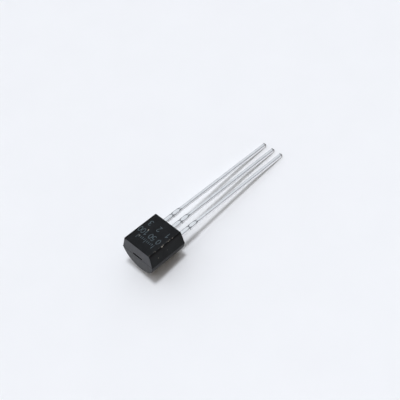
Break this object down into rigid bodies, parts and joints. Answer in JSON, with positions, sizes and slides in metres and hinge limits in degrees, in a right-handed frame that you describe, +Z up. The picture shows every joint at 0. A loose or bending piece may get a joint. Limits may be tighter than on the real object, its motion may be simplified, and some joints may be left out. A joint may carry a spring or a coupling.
{
  "type": "temperature sensor",
  "caption": "Small three-lead temperature sensor: black moulded D-section case with a flat face and a round back, and a row of straight tinned leads.",
  "frame": {"origin": "middle of the box's bottom, on the surface that the part lies on", "axes": "+Z up, +Y from the closed end of the case out along the leads, +X across the row of leads"},
  "size_m": [0.0046, 0.0208, 0.0042],
  "materials": {
    "case_epoxy": "black moulded epoxy, fine satin spark-eroded mould texture",
    "tinned_lead": "bright tin plating over a stamped lead, faint lengthwise draw lines",
    "silicon": "polished silicon, hidden inside the case",
    "die_adhesive": "silver-filled adhesive, hidden inside the case",
    "bond_wire": "drawn gold wire, hidden inside the case"
  },
  "bodies": {
    "root": {"moulded_case": "case_epoxy", "lead_left": "tinned_lead", "lead_centre": "tinned_lead", "lead_right": "tinned_lead", "sensor_die": "silicon", "die_attach": "die_adhesive", "bond_wire_left": "bond_wire", "bond_wire_right": "bond_wire"}
  },
  "joints": []
}
